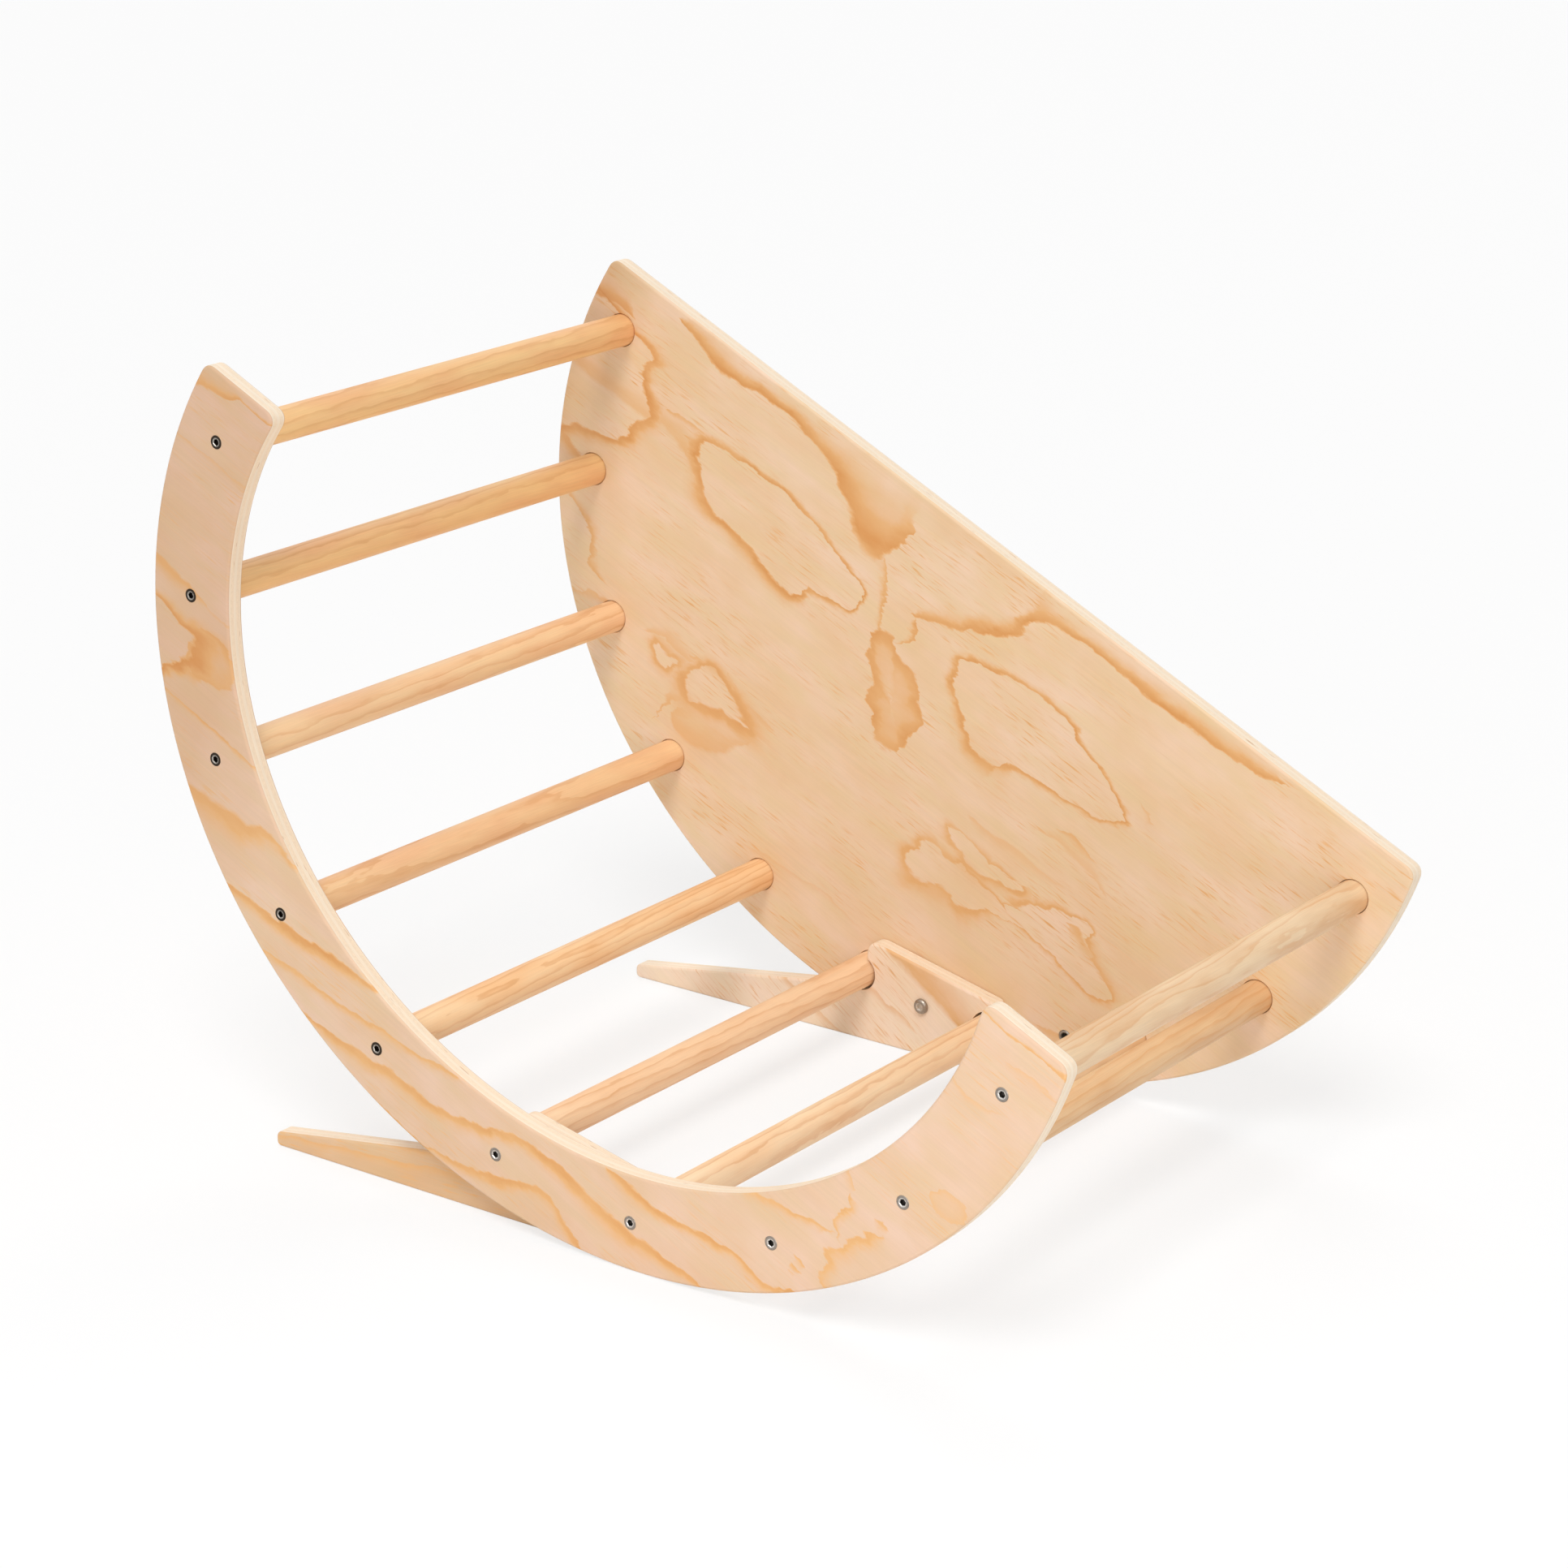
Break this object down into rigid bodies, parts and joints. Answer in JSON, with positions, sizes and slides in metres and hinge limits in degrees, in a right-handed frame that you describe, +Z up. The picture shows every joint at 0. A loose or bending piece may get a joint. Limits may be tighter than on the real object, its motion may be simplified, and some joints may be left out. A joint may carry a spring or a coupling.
{
  "type": "climbing arch",
  "caption": "Wooden climbing arch lying curve down on wedge stabiliser boards, with an open arch rail and a solid half-oval panel joined by round rungs.",
  "frame": {"origin": "on the floor, at the middle of the footprint", "axes": "+X along the length from the raised end to the low end, +Y from the open rail side to the solid panel side along the rungs, +Z up"},
  "size_m": [0.766, 0.47, 0.576],
  "materials": {
    "plywood": "sanded pine plywood, clear satin oil, broad wavy grain",
    "rung_pine": "sanded pine dowel, clear satin oil",
    "screw_steel": "dark plated steel",
    "bolt_steel": "satin steel",
    "insert_zinc": "zinc plated"
  },
  "bodies": {
    "root": {"arch_side_rail": "plywood", "full_side_panel": "plywood", "rail_stabiliser_board": "plywood", "panel_stabiliser_board": "plywood", "rung_01": "rung_pine", "rung_02": "rung_pine", "rung_03": "rung_pine", "rung_04": "rung_pine", "rung_05": "rung_pine", "rung_06": "rung_pine", "rung_07": "rung_pine", "rung_08": "rung_pine", "rung_09": "rung_pine", "rung_10": "rung_pine", "rail_screw_01": "screw_steel", "rail_screw_02": "screw_steel", "rail_screw_03": "screw_steel", "rail_screw_04": "screw_steel", "rail_screw_05": "screw_steel", "rail_screw_06": "screw_steel", "rail_screw_07": "screw_steel", "rail_screw_08": "screw_steel", "rail_screw_09": "screw_steel", "rail_screw_10": "screw_steel", "panel_screw_01": "screw_steel", "panel_screw_02": "screw_steel", "panel_screw_03": "screw_steel", "panel_screw_04": "screw_steel", "panel_screw_05": "screw_steel", "panel_screw_06": "screw_steel", "panel_screw_07": "screw_steel", "panel_screw_08": "screw_steel", "panel_screw_09": "screw_steel", "panel_screw_10": "screw_steel", "rail_board_bolt": "bolt_steel", "panel_board_bolt": "bolt_steel", "rail_board_insert": "insert_zinc", "panel_board_insert": "insert_zinc", "rail_spare_insert": "insert_zinc", "panel_spare_insert": "insert_zinc"}
  },
  "joints": []
}
